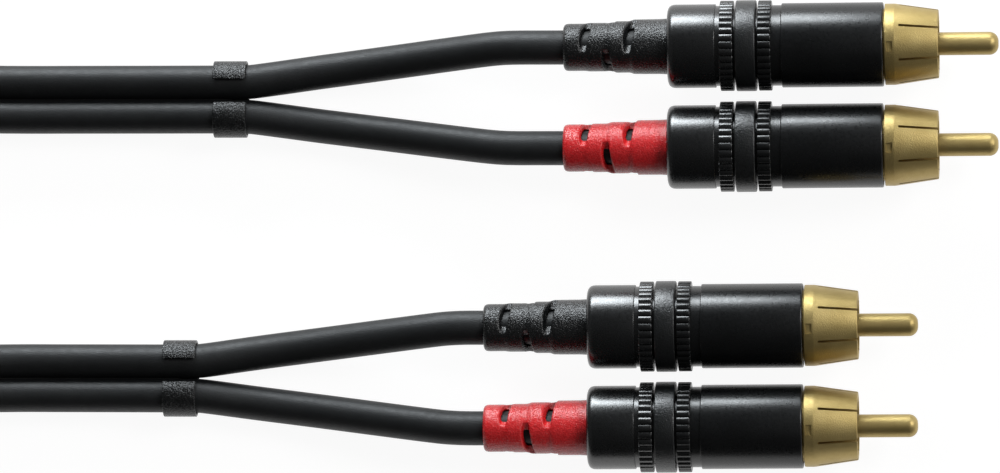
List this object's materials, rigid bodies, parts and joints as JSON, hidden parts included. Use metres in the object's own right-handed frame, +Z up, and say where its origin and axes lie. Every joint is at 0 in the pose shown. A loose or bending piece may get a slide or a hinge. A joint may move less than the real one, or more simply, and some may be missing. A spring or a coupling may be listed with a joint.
{
  "type": "stereo RCA audio cable",
  "caption": "Stereo audio lead: a flat twin cable that splits at both ends into metal-shelled RCA plugs with slotted ground contacts and flexible cable boots.",
  "frame": {"origin": "middle of the four plugs, on the surface that they lie on", "axes": "+X along the plugs towards their pins, +Y across the row of plugs, +Z up"},
  "size_m": [0.2524, 0.0941, 0.0192],
  "materials": {
    "shell": "satin black lacquer on turned metal",
    "coding_ring": "fine matt dark grey",
    "gold": "pale gold plating, satin bright",
    "insulator": "natural white plastic",
    "tin": "tinned sheet",
    "copper": "bare copper",
    "black_boot": "grained black",
    "red_boot": "grained red",
    "band": "grained black",
    "jacket": "soft matt dark grey"
  },
  "bodies": {
    "root": {"end_a_black_centre_pin": "gold", "end_a_black_ground_contact": "gold", "end_a_black_insulator": "insulator", "end_a_black_front_shell": "shell", "end_a_black_coding_ring": "coding_ring", "end_a_black_rear_cap": "shell", "end_a_black_cable_boot": "black_boot", "end_a_black_cable_clamp": "tin", "end_a_black_solder_sleeve": "insulator", "end_a_black_core_insulation": "insulator", "end_a_black_core_wire": "copper", "end_a_black_leg": "jacket", "end_a_red_centre_pin": "gold", "end_a_red_ground_contact": "gold", "end_a_red_insulator": "insulator", "end_a_red_front_shell": "shell", "end_a_red_coding_ring": "coding_ring", "end_a_red_rear_cap": "shell", "end_a_red_cable_boot": "red_boot", "end_a_red_cable_clamp": "tin", "end_a_red_solder_sleeve": "insulator", "end_a_red_core_insulation": "insulator", "end_a_red_core_wire": "copper", "end_a_red_leg": "jacket", "end_a_split_band": "band", "end_a_twin_cable": "jacket", "end_b_black_centre_pin": "gold", "end_b_black_ground_contact": "gold", "end_b_black_insulator": "insulator", "end_b_black_front_shell": "shell", "end_b_black_coding_ring": "coding_ring", "end_b_black_rear_cap": "shell", "end_b_black_cable_boot": "black_boot", "end_b_black_cable_clamp": "tin", "end_b_black_solder_sleeve": "insulator", "end_b_black_core_insulation": "insulator", "end_b_black_core_wire": "copper", "end_b_black_leg": "jacket", "end_b_red_centre_pin": "gold", "end_b_red_ground_contact": "gold", "end_b_red_insulator": "insulator", "end_b_red_front_shell": "shell", "end_b_red_coding_ring": "coding_ring", "end_b_red_rear_cap": "shell", "end_b_red_cable_boot": "red_boot", "end_b_red_cable_clamp": "tin", "end_b_red_solder_sleeve": "insulator", "end_b_red_core_insulation": "insulator", "end_b_red_core_wire": "copper", "end_b_red_leg": "jacket", "end_b_split_band": "band", "end_b_twin_cable": "jacket", "twin_cable_coil": "jacket"}
  },
  "joints": []
}
